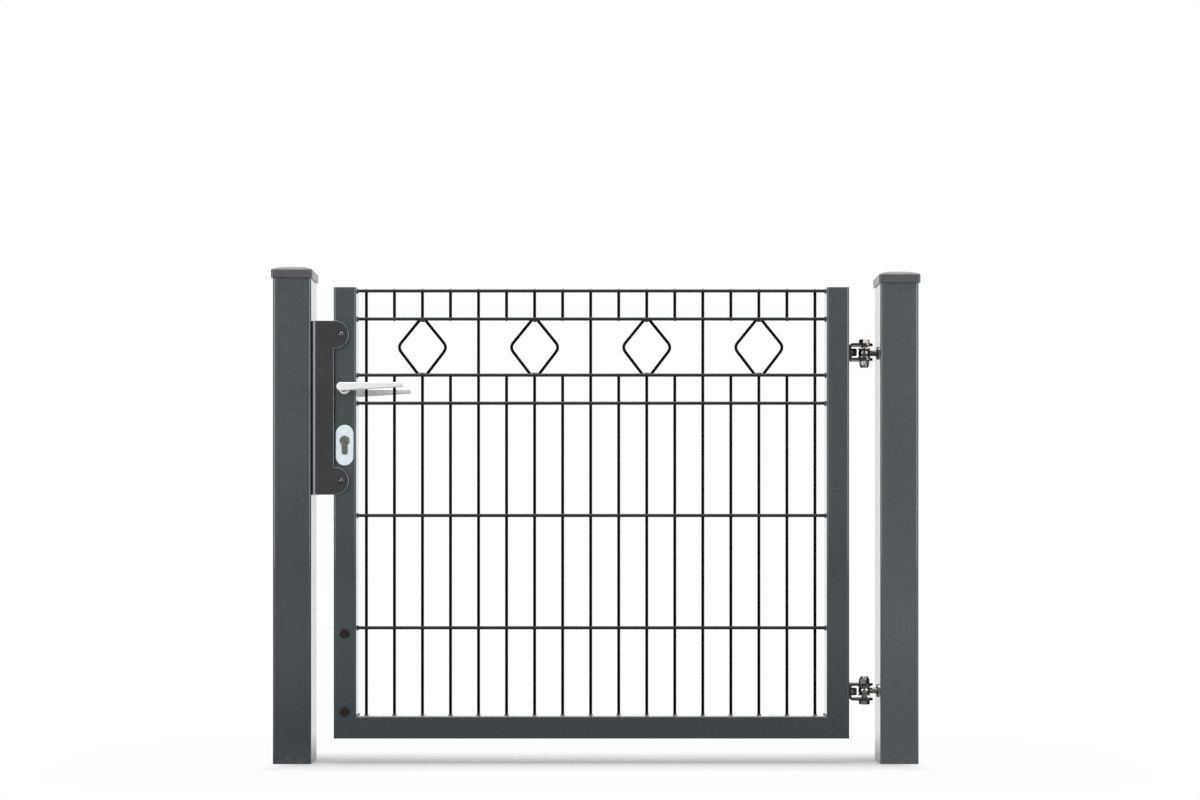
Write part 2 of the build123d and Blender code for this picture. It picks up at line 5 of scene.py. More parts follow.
import bmesh
import bpy
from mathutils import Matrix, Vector


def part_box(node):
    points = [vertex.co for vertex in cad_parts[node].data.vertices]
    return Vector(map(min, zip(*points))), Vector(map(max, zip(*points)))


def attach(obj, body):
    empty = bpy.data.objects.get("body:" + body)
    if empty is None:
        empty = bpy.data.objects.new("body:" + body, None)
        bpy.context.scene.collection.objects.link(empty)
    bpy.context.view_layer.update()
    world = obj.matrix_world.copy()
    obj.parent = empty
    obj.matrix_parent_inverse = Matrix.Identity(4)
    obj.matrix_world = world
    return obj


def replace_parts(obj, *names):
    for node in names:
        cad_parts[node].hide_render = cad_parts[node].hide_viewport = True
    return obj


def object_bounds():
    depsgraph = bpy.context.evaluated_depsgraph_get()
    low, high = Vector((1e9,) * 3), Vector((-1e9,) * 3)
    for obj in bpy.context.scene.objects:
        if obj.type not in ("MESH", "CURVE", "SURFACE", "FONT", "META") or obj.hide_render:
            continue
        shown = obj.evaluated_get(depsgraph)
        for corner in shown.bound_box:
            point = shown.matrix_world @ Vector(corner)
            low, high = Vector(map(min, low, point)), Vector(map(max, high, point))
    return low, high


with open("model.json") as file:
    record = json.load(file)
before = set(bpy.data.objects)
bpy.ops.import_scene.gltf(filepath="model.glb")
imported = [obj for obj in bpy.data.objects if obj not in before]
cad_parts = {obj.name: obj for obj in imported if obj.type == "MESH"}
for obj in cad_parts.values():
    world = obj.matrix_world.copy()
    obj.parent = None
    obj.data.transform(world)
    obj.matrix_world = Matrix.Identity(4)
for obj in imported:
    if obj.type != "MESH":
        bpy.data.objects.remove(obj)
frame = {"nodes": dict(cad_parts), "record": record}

# Looks of a swing fence gate, in metres. X runs to the right, Y away from the viewer and Z up.

cad_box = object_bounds()
nodes = frame["nodes"]
X, Y, Z = 0, 1, 2


def low(name, axis):
    """Lowest coordinate of a CAD node along an axis."""
    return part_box(name)[0][axis]


def high(name, axis):
    """Highest coordinate of a CAD node along an axis."""
    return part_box(name)[1][axis]


def middle(name, axis):
    """Centre of a CAD node's box along an axis."""
    return (low(name, axis) + high(name, axis)) / 2


# Wire mesh, which is drawn again with round wires
UPRIGHT_RADIUS = 0.0027
CROSS_RADIUS = 0.0030
WIRE_PITCH = 0.050
UPRIGHT_COUNT = 17
MESH_OFF_CENTRE = -0.0015
UPRIGHT_PROJECTION = 0.0009
BANDS = (0.050, 0.100, 0.050, 0.200, 0.200)
DIAMOND_EVERY = 4
DIAMOND_HALF_TOP = 0.0038
DIAMOND_HALF_FOOT = 0.0062
DIAMOND_HALF_WIDTH = 0.0445
DIAMOND_SIDE_BEND = 0.014
DIAMOND_END_BEND = 0.003
CUT_END_ROUND = 0.0005

# Weld lumps of the mesh, given as half lengths along X, Y and Z
SPOT_WELD = (0.0034, 0.0016, 0.0036)
DIAMOND_WELD_PAST_FLAT = 0.0012
DIAMOND_WELD_HALF_DEPTH = 0.0018
DIAMOND_WELD_HALF_HEIGHT = 0.0022
FOOT_WELD = (0.0042, 0.0042, 0.0018)
FOOT_WELD_RISE = 0.0005
FOOT_WELD_SEED = 500

# The two beads at each end of a cross wire: place from the stile and the wire's centre, and half lengths
END_BEADS = (
    ((0.0006, 0.0, 0.0), (0.0026, 0.0046, 0.0042)),
    ((0.0004, 0.003, -0.001), (0.0022, 0.004, 0.0040)),
)
END_BEAD_SEED = 300
SECOND_BEAD_SEED_STEP = 90

# Mitre seams of the leaf's lower corners, and the beads inside them
MITRE_RADIUS = 0.0007
MITRE_FLATNESS = 0.12
MITRE_OUTER_INSET = 0.003
MITRE_INNER_INSET = 0.002
MITRE_SEED = 600
CORNER_BEAD_RADIUS = 0.0020
CORNER_BEAD_OUT = 0.0004
CORNER_BEAD_INSET = 0.004
CORNER_BEAD_SEED = 700

# Small parts that the CAD leaves plain
EYE_BORE = 0.0051
SHANK_RADIUS = 0.0050
THREAD_PITCH = 0.00125
THREAD_DEPTH = 0.0003
THREAD_RIDGE_SHARE = 0.42
THREAD_INTO_EYE = 0.0008
PLUG_RADIUS = 0.0068
PLUG_RING_RADIUS = 0.00022
FOREND_SCREW_INSET = 0.009
FOREND_SCREW_RADIUS = 0.0036
FOREND_SCREW_DOME = 0.0007
GRUB_RADIUS = 0.0022
GRUB_DOME = 0.0004
GRUB_OFF_LEAF = 0.022
GRUB_BELOW_SPINDLE = 0.0063
SHEET = 0.003
STUD_SHANK_SHARE = 0.7

# Shares of a screw head's radius, and the socket floor's share of its dome
SCREW_SHANK_SHARE = 0.55
SCREW_FLAT_SHARE = 0.62
SOCKET_SHARE = 0.42
SOCKET_FLOOR_SHARE = 0.2

SMOOTH_BELOW = math.radians(35)

# Places read from the frame
leaf_left, leaf_right = low("bottom_rail", X), high("bottom_rail", X)
leaf_front, leaf_back = low("bottom_rail", Y), high("bottom_rail", Y)
leaf_foot, rail_top = low("bottom_rail", Z), high("bottom_rail", Z)
inner_left, inner_right = high("lock_stile", X), low("hinge_stile", X)
upright_y = high("wire_mesh", Y) - UPRIGHT_RADIUS
cross_y = low("wire_mesh", Y) + CROSS_RADIUS
mesh_top = high("wire_mesh", Z)
cross_heights = [mesh_top - UPRIGHT_PROJECTION - CROSS_RADIUS]
for band in BANDS:
    cross_heights.append(cross_heights[-1] - band)
first_wire = (inner_left + inner_right - (UPRIGHT_COUNT - 1) * WIRE_PITCH) / 2 + MESH_OFF_CENTRE
wire_places = [first_wire + number * WIRE_PITCH for number in range(UPRIGHT_COUNT)]


# Materials

# Heights of the powder coat's painted shading low down and at the foot (painted shade, and painted light on
# the hinge post), and of the dust by the ground
LOWER_PAINTED_SHADING_Z = (0.36, 0.48)
FOOT_PAINTED_SHADING_Z = (0.07, 0.15)
DUST_Z = (0.0, 0.04)
# Heights of the painted light on low metal parts
LOW_METAL_PAINTED_LIGHT_Z = (0.25, 0.45)
DUST_COLOUR = (0.12, 0.115, 0.105)
COAT_ROUGHNESS = 0.06
PLASTIC_COAT_ROUGHNESS = 0.12
METAL_EDGE = 0.0003
PLASTIC_EDGE = 0.0006

# How far the painted highlight on sharp edges reaches, and how well the rounded normal agrees with the true
# one at an edge and on a face
PAINTED_EDGE_HIGHLIGHT_REACH = 0.0022
EDGE_AGREEMENT = (0.85, 0.97)

# Where the share seen at a low angle starts and ends, as Layer Weight's Facing; there coats turn pale and
# metallic, a painted sheen, and some metals darken, a painted shade
COAT_PAINTED_SHEEN_FACING = (0.74, 0.92)
COAT_PAINTED_SHEEN_MOST = 0.8
METAL_PAINTED_RIM_FACING = (0.35, 0.75)
PAINTED_SHEEN_COLOUR = (0.9, 0.9, 0.9)


def new_material(name, colour, rough, metallic=0.0, specular=0.5):
    """A material whose uniform values are set on the shader itself."""
    mat = bpy.data.materials.new(name)
    mat.use_nodes = True
    shader = mat.node_tree.nodes["Principled BSDF"]
    shader.inputs["Base Color"].default_value = (*colour, 1)
    shader.inputs["Roughness"].default_value = rough
    shader.inputs["Metallic"].default_value = metallic
    shader.inputs["Specular IOR Level"].default_value = specular
    return mat


def shader_of(mat):
    """The material's one shader."""
    return mat.node_tree.nodes["Principled BSDF"]


def link(tree, output, socket):
    """Links an output to a socket."""
    tree.links.new(output, socket)


def coords(mat, stretch=(1, 1, 1)):
    """Object coordinates in metres, stretched where grain runs along an axis."""
    tree = mat.node_tree
    source = tree.nodes.new("ShaderNodeTexCoord")
    mapping = tree.nodes.new("ShaderNodeMapping")
    mapping.inputs["Scale"].default_value = stretch
    link(tree, source.outputs["Object"], mapping.inputs["Vector"])
    return mapping.outputs["Vector"]


def noise(mat, vector, scale, detail=3.0, rough=0.55):
    """Noise values at the given coordinates."""
    made = mat.node_tree.nodes.new("ShaderNodeTexNoise")
    made.inputs["Scale"].default_value = scale
    made.inputs["Detail"].default_value = detail
    made.inputs["Roughness"].default_value = rough
    link(mat.node_tree, vector, made.inputs["Vector"])
    return made.outputs["Fac"]


def spread(tree, value, low_in, high_in, low_out, high_out):
    """Maps one range of values to another and holds it at the ends."""
    made = tree.nodes.new("ShaderNodeMapRange")
    made.inputs["From Min"].default_value = low_in
    made.inputs["From Max"].default_value = high_in
    made.inputs["To Min"].default_value = low_out
    made.inputs["To Max"].default_value = high_out
    link(tree, value, made.inputs["Value"])
    return made.outputs["Result"]


def axes_of(tree, vector):
    """The X, Y and Z outputs of a vector."""
    split = tree.nodes.new("ShaderNodeSeparateXYZ")
    link(tree, vector, split.inputs["Vector"])
    return split.outputs


def calculate(tree, kind, *values):
    """A math node on outputs and numbers."""
    made = tree.nodes.new("ShaderNodeMath")
    made.operation = kind
    for socket, value in zip(made.inputs, values):
        if isinstance(value, (int, float)):
            socket.default_value = value
        else:
            link(tree, value, socket)
    return made.outputs["Value"]


def blend(tree, factor, a, b):
    """Mixes two colours, each given as three numbers or as an output."""
    made = tree.nodes.new("ShaderNodeMix")
    made.data_type = "RGBA"
    link(tree, factor, made.inputs[0])
    for socket, value in ((made.inputs[6], a), (made.inputs[7], b)):
        if isinstance(value, tuple):
            socket.default_value = (*value, 1)
        else:
            link(tree, value, socket)
    return made.outputs[2]


def surface_relief(mat, layers, edge=0.0):
    """Bump from (height, strength, distance) layers, over edges rounded by edge metres."""
    tree = mat.node_tree
    last = None
    if edge:
        rounded = tree.nodes.new("ShaderNodeBevel")
        rounded.samples = 4
        rounded.inputs["Radius"].default_value = edge
        last = rounded.outputs["Normal"]
    for height, strength, distance in layers:
        made = tree.nodes.new("ShaderNodeBump")
        made.inputs["Strength"].default_value = strength
        made.inputs["Distance"].default_value = distance
        link(tree, height, made.inputs["Height"])
        if last:
            link(tree, last, made.inputs["Normal"])
        last = made.outputs["Normal"]
    link(tree, last, shader_of(mat).inputs["Normal"])
    return last


def sharp_edges(tree, radius):
    """1 within a radius of a form's sharp edges and 0 on its faces."""
    rounded = tree.nodes.new("ShaderNodeBevel")
    rounded.samples = 8
    rounded.inputs["Radius"].default_value = radius
    surface = tree.nodes.new("ShaderNodeNewGeometry")
    made = tree.nodes.new("ShaderNodeVectorMath")
    made.operation = "DOT_PRODUCT"
    link(tree, rounded.outputs["Normal"], made.inputs[0])
    link(tree, surface.outputs["Normal"], made.inputs[1])
    return spread(tree, made.outputs["Value"], *EDGE_AGREEMENT, 1.0, 0.0)


def seen_at_low_angle(tree, start, end, most):
    """0 on faces turned to the viewer, rising to most where they are seen at a low angle."""
    facing = tree.nodes.new("ShaderNodeLayerWeight")
    return spread(tree, facing.outputs["Facing"], start, end, 0.0, most)


def powder_coat(
    name, dark, light, rough, coat, peel, edge=0.0006, lower_painted_shading=0.86, foot_painted_shading=0.72, specular=0.5,
    painted_edge_highlight=None, coat_ior=1.55
):
    """Powder coat with slight clouding, orange peel, scuffs and some dust towards the ground.

    lower_painted_shading and foot_painted_shading paint its tone low down: painted shade under 1 and painted
    light over 1.
    painted_edge_highlight paints a highlight on sharp edges, and with a coat it turns pale and metallic at a
    low angle, a painted sheen.
    """
    mat = new_material(name, dark, 0.4, specular=specular)
    tree = mat.node_tree
    shader = shader_of(mat)
    at = coords(mat)
    cloud = spread(tree, noise(mat, at, 7, 4), 0.3, 0.7, 0.0, 1.0)
    colour = blend(tree, cloud, dark, light)
    height = axes_of(tree, at)["Z"]
    # Painted shade low down and at the foot; where the shares are over 1, painted light
    lower = spread(tree, height, *LOWER_PAINTED_SHADING_Z, 1.0, 0.0)
    colour = blend(tree, lower, colour, tuple(v * lower_painted_shading for v in dark))
    foot = spread(tree, height, *FOOT_PAINTED_SHADING_Z, 1.0, 0.0)
    colour = blend(tree, foot, colour, tuple(v * foot_painted_shading for v in dark))
    ground = spread(tree, height, *DUST_Z, 1.0, 0.0)
    specks = spread(tree, noise(mat, at, 60, 5), 0.45, 0.75, 0.0, 0.5)
    colour = blend(tree, calculate(tree, "MULTIPLY", ground, specks), colour, DUST_COLOUR)
    scuff = spread(tree, noise(mat, coords(mat, (1, 1, 0.12)), 130, 4, 0.7), 0.66, 0.8, 0.0, 0.06)
    # A painted highlight along sharp edges
    if painted_edge_highlight:
        colour = blend(tree, sharp_edges(tree, PAINTED_EDGE_HIGHLIGHT_REACH), colour, painted_edge_highlight)
    # Pale and metallic at a low angle: a painted sheen
    if coat:
        painted_low_angle_share = seen_at_low_angle(tree, *COAT_PAINTED_SHEEN_FACING, COAT_PAINTED_SHEEN_MOST)
        colour = blend(tree, painted_low_angle_share, colour, PAINTED_SHEEN_COLOUR)
        link(tree, painted_low_angle_share, shader.inputs["Metallic"])
    link(tree, colour, shader.inputs["Base Color"])
    worn = spread(tree, noise(mat, at, 55, 3), 0.3, 0.7, *rough)
    link(tree, calculate(tree, "ADD", worn, scuff), shader.inputs["Roughness"])
    shader.inputs["Coat Weight"].default_value = coat
    shader.inputs["Coat Roughness"].default_value = COAT_ROUGHNESS
    shader.inputs["Coat IOR"].default_value = coat_ior
    layers = [(noise(mat, at, 420, 2), peel, 0.0001), (noise(mat, at, 2600, 1), 0.2, 0.00002)]
    last = surface_relief(mat, layers, edge)
    link(tree, last, shader.inputs["Coat Normal"])
    return mat


def metal(
    name, dark, light, rough, metallic=1.0, grain=(1, 1, 1), grain_scale=900, grain_bump=0.25, painted_rim_shade=1.0,
    painted_low_light=1.0
):
    """Plated or bare metal, mottled, with grain along its machining.

    A rim under 1 darkens it at a low angle, a painted shade,
    and a painted_low_light over 1 lightens it low down, a painted light.
    """
    mat = new_material(name, dark, 0.3, metallic)
    tree = mat.node_tree
    at = coords(mat)
    lines = noise(mat, coords(mat, grain), grain_scale, 3, 0.6)
    patch = spread(tree, noise(mat, at, 160, 4), 0.35, 0.65, 0.0, 1.0)
    colour = blend(tree, patch, dark, light)
    # Lighter low down: painted light
    if painted_low_light > 1:
        lower = spread(tree, axes_of(tree, at)["Z"], *LOW_METAL_PAINTED_LIGHT_Z, 1.0, 0.0)
        colour = blend(tree, lower, colour, tuple(v * painted_low_light for v in light))
    # Darker at a low angle: painted shade
    if painted_rim_shade < 1:
        painted_low_angle_share = seen_at_low_angle(tree, *METAL_PAINTED_RIM_FACING, 1.0)
        colour = blend(tree, painted_low_angle_share, colour, tuple(v * painted_rim_shade for v in dark))
        shader_of(mat).inputs["Specular Tint"].default_value = (painted_rim_shade, painted_rim_shade, painted_rim_shade, 1)
    link(tree, colour, shader_of(mat).inputs["Base Color"])
    link(tree, spread(tree, lines, 0.25, 0.75, *rough), shader_of(mat).inputs["Roughness"])
    layers = [(lines, grain_bump, 0.00005), (noise(mat, at, 300, 2), 0.12, 0.0001)]
    surface_relief(mat, layers, METAL_EDGE)
    return mat


def plastic(name, dark, light, rough, grain_scale=1800, grain_bump=0.35, coat=0.0):
    """Moulded plastic or rubber with a fine grain."""
    mat = new_material(name, dark, 0.5)
    shader_of(mat).inputs["Coat Weight"].default_value = coat
    shader_of(mat).inputs["Coat Roughness"].default_value = PLASTIC_COAT_ROUGHNESS
    tree = mat.node_tree
    at = coords(mat)
    cloud = spread(tree, noise(mat, at, 24, 3), 0.3, 0.7, 0.0, 1.0)
    link(tree, blend(tree, cloud, dark, light), shader_of(mat).inputs["Base Color"])
    worn = spread(tree, noise(mat, at, 260, 3), 0.3, 0.7, *rough)
    link(tree, worn, shader_of(mat).inputs["Roughness"])
    surface_relief(mat, [(noise(mat, at, grain_scale, 2), grain_bump, 0.00005)], PLASTIC_EDGE)
    return mat


MATERIALS = {
    "powder_coat": powder_coat(
        "powder_coat", (0.036, 0.046, 0.052), (0.042, 0.053, 0.058), (0.24, 0.34), 1.0, 0.2
    ),
    # A lighter copy of the powder coat for the hinge post, lighter still low down: painted light
    "hinge_post_lit_coat": powder_coat(
        "hinge_post_lit_coat", (0.042, 0.053, 0.060), (0.049, 0.061, 0.067), (0.24, 0.34), 1.0, 0.2,
        lower_painted_shading=1.24, foot_painted_shading=1.24
    ),
    "wire_coat": powder_coat(
        "wire_coat", (0.0008, 0.0014, 0.0010), (0.0016, 0.0026, 0.0020), (0.30, 0.40), 0.0, 0.1, 0.0,
        specular=0.06
    ),
    # A lighter, glossier copy of the wire coat for the cross wires: painted light
    "lit_cross_wire_coat": powder_coat(
        "lit_cross_wire_coat", (0.009, 0.013, 0.013), (0.013, 0.018, 0.017), (0.24, 0.32), 0.0, 0.1, 0.0
    ),
    # The strike plate's pale edges are a painted highlight
    "strike_coat": powder_coat(
        "strike_coat", (0.011, 0.014, 0.017), (0.014, 0.017, 0.020), (0.20, 0.28), 1.0, 0.2, 0.0010,
        painted_edge_highlight=(0.34, 0.35, 0.36), coat_ior=1.85
    ),
    "cap_plastic": plastic(
        "cap_plastic", (0.056, 0.056, 0.060), (0.068, 0.068, 0.072), (0.26, 0.36), coat=0.4
    ),
    "black_plastic": plastic("black_plastic", (0.008, 0.008, 0.008), (0.014, 0.014, 0.014), (0.25, 0.35)),
    "buffer_rubber": plastic(
        "buffer_rubber", (0.010, 0.010, 0.010), (0.018, 0.018, 0.018), (0.6, 0.8), 900, 0.6
    ),
    # Metals darker at a low angle take a painted shade there
    "stud_dark": metal("stud_dark", (0.12, 0.105, 0.10), (0.17, 0.15, 0.145), (0.20, 0.3), painted_rim_shade=0.1),
    # Lighter low down, at the lower hinge: painted light
    "zinc_plate": metal(
        "zinc_plate", (0.20, 0.19, 0.175), (0.28, 0.27, 0.25), (0.12, 0.22), painted_rim_shade=0.12, painted_low_light=1.7
    ),
    "strap_zinc": metal("strap_zinc", (0.075, 0.072, 0.078), (0.12, 0.115, 0.12), (0.14, 0.24), painted_rim_shade=0.3),
    "stainless": metal(
        "stainless", (0.38, 0.38, 0.37), (0.50, 0.50, 0.49), (0.2, 0.34), grain=(1, 1, 0.03), painted_rim_shade=0.4
    ),
    "escutcheon_zinc": metal(
        "escutcheon_zinc", (0.70, 0.79, 0.83), (0.79, 0.88, 0.92), (0.3, 0.46), metallic=0.35
    ),
    "cylinder_nickel": metal("cylinder_nickel", (0.30, 0.32, 0.31), (0.60, 0.63, 0.60), (0.14, 0.26)),
    # The lever's darker outline at a low angle is painted shade
    "lever_aluminium": metal(
        "lever_aluminium", (0.79, 0.79, 0.775), (0.82, 0.82, 0.805), (0.30, 0.36), 0.30,
        (0.04, 1, 1), 1400, 0.02, painted_rim_shade=0.62
    ),
    "weld": powder_coat("weld", (0.034, 0.043, 0.048), (0.042, 0.052, 0.057), (0.3, 0.45), 0.5, 0.8),
}

slot_of = {part["node"]: part["material_slot"] for part in frame["record"]["subparts"]}
look_of = {"hinge_post": "hinge_post_lit_coat", "upper_clevis": "strap_zinc", "lower_clevis": "strap_zinc"}
for name, obj in nodes.items():
    obj.data.materials.clear()
    obj.data.materials.append(MATERIALS[look_of.get(name, slot_of[name])])


# Mesh helpers

def keep(name, bm, body, slot, material=None):
    """Turns a bmesh into a smooth piece that rides on a body."""
    mesh = bpy.data.meshes.new(name)
    bmesh.ops.recalc_face_normals(bm, faces=bm.faces)
    bm.to_mesh(mesh)
    bm.free()
    obj = bpy.data.objects.new(name, mesh)
    bpy.context.scene.collection.objects.link(obj)
    mesh.materials.append(MATERIALS[material or slot])
    for face in mesh.polygons:
        face.use_smooth = True
    mesh.set_sharp_from_angle(angle=SMOOTH_BELOW)
    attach(obj, body)
    return obj


def join_rings(bm, rings, closed=False):
    """Faces between rings of vertices, with flat ends where the run is open."""
    count = len(rings[0])
    last = len(rings) if closed else len(rings) - 1
    for index in range(last):
        a, b = rings[index], rings[(index + 1) % len(rings)]
        for k in range(count):
            bm.faces.new((a[k], a[(k + 1) % count], b[(k + 1) % count], b[k]))
    if not closed:
        bm.faces.new(rings[0][::-1])
        bm.faces.new(rings[-1])


def wire(bm, points, radius, sides=14, closed=False, end_round=0.0):
    """Round wire along points in an XZ plane; end_round rounds its cut ends."""
    points = [Vector(p) for p in points]
    radii = [radius] * len(points)
    if end_round:
        step = (points[-1] - points[0]).normalized() * end_round
        points = [points[0], points[0] + step, points[-1] - step, points[-1]]
        radii = [radius - end_round, radius, radius, radius - end_round]
    count = len(points)
    across = Vector((0, 1, 0))
    rings = []
    for i, point in enumerate(points):
        before = points[i - 1] if closed or i else point
        after = points[(i + 1) % count] if closed or i < count - 1 else point
        side = (after - before).normalized().cross(across)
        turns = [2 * math.pi * k / sides for k in range(sides)]
        ring = [point + (side * math.cos(t) + across * math.sin(t)) * radii[i] for t in turns]
        rings.append([bm.verts.new(p) for p in ring])
    join_rings(bm, rings, closed)


def lump(bm, at, size, seed, uneven=0.12, segments=10):
    """A small uneven lump of weld."""
    local = random.Random(seed)
    made = bmesh.ops.create_uvsphere(bm, u_segments=segments, v_segments=8, radius=1.0)
    for vert in made["verts"]:
        wobble = 1 + uneven * (local.random() - 0.5)
        vert.co = Vector([at[k] + vert.co[k] * size[k] * wobble for k in range(3)])


def weld_run(bm, start, end, radius, seed, flat):
    """A run of overlapping ripples between two points."""
    start, end = Vector(start), Vector(end)
    spacing = radius * 0.9
    count = max(3, round((end - start).length / spacing))
    for i in range(count + 1):
        lump(bm, start.lerp(end, i / count), (radius, radius * flat, radius), seed + i, 0.18, 8)


def frame_about(axis):
    """Two unit vectors square to an axis."""
    axis = Vector(axis).normalized()
    side = axis.orthogonal().normalized()
    return side, axis.cross(side)


def thread(bm, start, end, radius):
    """A helical ridge around a shank between two points."""
    start, end = Vector(start), Vector(end)
    length = (end - start).length
    axis = (end - start) / length
    side, up = frame_about(axis)
    steps = 20
    total = round(length / THREAD_PITCH * steps)
    half = THREAD_PITCH * THREAD_RIDGE_SHARE
    root = radius - THREAD_DEPTH
    rings = []
    for i in range(total + 1):
        turn = 2 * math.pi * i / steps
        out = side * math.cos(turn) + up * math.sin(turn)
        at = start + axis * (half + (length - 2 * half) * i / total)
        crest = radius + THREAD_DEPTH * min(1.0, i / steps, (total - i) / steps)
        ring = (at - axis * half + out * root, at + out * crest, at + axis * half + out * root)
        rings.append([bm.verts.new(p) for p in ring])
    join_rings(bm, rings)


def torus(bm, centre, axis, radius, thickness, height=None, sides=8, steps=48):
    """A ring around an axis, of round or oval section."""
    centre, axis = Vector(centre), Vector(axis)
    height = height or thickness
    side, up = frame_about(axis)
    angles = [2 * math.pi * k / sides for k in range(sides)]
    rings = []
    for i in range(steps):
        turn = 2 * math.pi * i / steps
        out = side * math.cos(turn) + up * math.sin(turn)
        ring = []
        for angle in angles:
            reach, rise = radius + thickness * math.cos(angle), height * math.sin(angle)
            ring.append(bm.verts.new(centre + out * reach + axis * rise))
        rings.append(ring)
    join_rings(bm, rings, closed=True)


def turned(bm, seat, axis, profile, steps=36):
    """A turned form around an axis; its profile gives radius, rise and whether the ring is a hexagon."""
    seat, axis = Vector(seat), Vector(axis)
    side, up = frame_about(axis)
    rings = []
    for radius, rise, hexagon in profile:
        ring = []
        for i in range(steps):
            turn = 2 * math.pi * i / steps
            reach = radius
            if hexagon:
                reach = radius / math.cos((turn % (math.pi / 3)) - math.pi / 6)
            out = side * math.cos(turn) + up * math.sin(turn)
            ring.append(bm.verts.new(seat + out * reach + axis * rise))
        rings.append(ring)
    join_rings(bm, rings)


def socket_screw(bm, seat, axis, radius, dome, shank=0.0):
    """Domed screw head with a hexagon socket; seat is the centre of its underside."""
    profile = []
    if shank:
        shank_radius = radius * SCREW_SHANK_SHARE
        profile += [(shank_radius, -shank, False), (shank_radius, 0, False)]
    profile.append((radius, 0, False))
    steps = 6
    for part in range(1, steps):
        angle = math.pi / 2 * part / steps
        reach = SCREW_FLAT_SHARE + (1 - SCREW_FLAT_SHARE) * math.cos(angle)
        profile.append((radius * reach, dome * math.sin(angle), False))
    profile.append((radius * SCREW_FLAT_SHARE, dome, False))
    flats = radius * SOCKET_SHARE
    profile += [(flats, dome, True), (flats, dome * SOCKET_FLOOR_SHARE, True)]
    turned(bm, seat, axis, profile)


def domed_stud(bm, seat, axis, radius, dome, shank, shank_radius):
    """A stud with a domed head and a plain shank behind it."""
    ball = (radius**2 + dome**2) / (2 * dome)
    widest = math.asin(radius / ball)
    profile = [(shank_radius, -shank, False), (shank_radius, 0, False)]
    steps = 9
    for part in range(steps):
        angle = widest * (1 - part / steps)
        profile.append((ball * math.sin(angle), dome - ball * (1 - math.cos(angle)), False))
    profile.append((radius * 0.04, dome, False))
    turned(bm, seat, axis, profile)


# Wire mesh

def diamond_points(x):
    """Centre line of one diamond, with rounded side corners and small bends at top and foot."""
    upper, lower = cross_heights[1], cross_heights[2]
    centre = (upper + lower) / 2
    corners = [
        (DIAMOND_HALF_TOP, upper), (DIAMOND_HALF_WIDTH, centre), (DIAMOND_HALF_FOOT, lower),
        (-DIAMOND_HALF_FOOT, lower), (-DIAMOND_HALF_WIDTH, centre), (-DIAMOND_HALF_TOP, upper),
    ]
    points = []
    for i, corner in enumerate(corners):
        here = Vector(corner)
        before = (Vector(corners[i - 1]) - here).normalized()
        after = (Vector(corners[(i + 1) % len(corners)]) - here).normalized()
        at_side = abs(corner[0]) == DIAMOND_HALF_WIDTH
        bend = DIAMOND_SIDE_BEND if at_side else DIAMOND_END_BEND
        run = bend / math.tan(before.angle(after) / 2)
        start, end = here + before * run, here + after * run
        steps = 8 if at_side else 4
        for step in range(steps + 1):
            t = step / steps
            p = start * (1 - t) ** 2 + here * 2 * t * (1 - t) + end * t**2
            points.append((x + p.x, upright_y, p.y))
    return points


def is_diamond(number):
    """Whether an upright's place holds a diamond."""
    return number % DIAMOND_EVERY == DIAMOND_EVERY // 2


def mesh_uprights():
    """Uprights and diamonds as round wires."""
    bm = bmesh.new()
    for number, x in enumerate(wire_places):
        runs = [(rail_top, mesh_top)]
        if number % DIAMOND_EVERY:
            runs = [(cross_heights[1], mesh_top), (rail_top, cross_heights[2])]
        for foot, top in runs:
            ends = [(x, upright_y, foot), (x, upright_y, top)]
            wire(bm, ends, UPRIGHT_RADIUS, end_round=CUT_END_ROUND)
        if is_diamond(number):
            wire(bm, diamond_points(x), UPRIGHT_RADIUS, closed=True)
    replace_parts(keep("mesh_uprights", bm, "gate_leaf", "wire_coat"), "wire_mesh")


def mesh_cross_wires():
    """The cross wires that the uprights lie on, as round wires from stile to stile."""
    bm = bmesh.new()
    for z in cross_heights:
        wire(bm, [(inner_left, cross_y, z), (inner_right, cross_y, z)], CROSS_RADIUS)
    # The cross wires take the lighter copy of the wire coat: painted light
    cross_wires = keep("mesh_cross_wires", bm, "gate_leaf", "wire_coat", "lit_cross_wire_coat")
    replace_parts(cross_wires, "wire_mesh")


def mesh_spot_welds():
    """The squeezed metal where the wires cross and where diamonds touch the cross wires."""
    bm = bmesh.new()
    between = (upright_y + cross_y) / 2
    for number, x in enumerate(wire_places):
        for row, z in enumerate(cross_heights):
            lump(bm, (x, between, z), SPOT_WELD, number * 10 + row)
        if is_diamond(number):
            ends = (
                (DIAMOND_HALF_TOP, cross_heights[1] - UPRIGHT_RADIUS),
                (DIAMOND_HALF_FOOT, cross_heights[2] + UPRIGHT_RADIUS),
            )
            for half, z in ends:
                size = (half + DIAMOND_WELD_PAST_FLAT, DIAMOND_WELD_HALF_DEPTH, DIAMOND_WELD_HALF_HEIGHT)
                lump(bm, (x, upright_y, z), size, number, 0.15)
    keep("mesh_spot_welds", bm, "gate_leaf", "wire_coat")


def mesh_end_welds():
    """Weld beads that hold the wires to the stiles and the bottom rail."""
    bm = bmesh.new()
    for row, z in enumerate(cross_heights):
        for x, side in ((inner_left, 1), (inner_right, -1)):
            seed = END_BEAD_SEED + row * 4 + side
            for bead, (place, size) in enumerate(END_BEADS):
                at = (x + side * place[X], cross_y + place[Y], z + place[Z])
                lump(bm, at, size, seed + bead * SECOND_BEAD_SEED_STEP, 0.3)
    for number, x in enumerate(wire_places):
        at = (x, upright_y, rail_top + FOOT_WELD_RISE)
        lump(bm, at, FOOT_WELD, FOOT_WELD_SEED + number, 0.25)
    keep("mesh_end_welds", bm, "gate_leaf", "powder_coat", "weld")


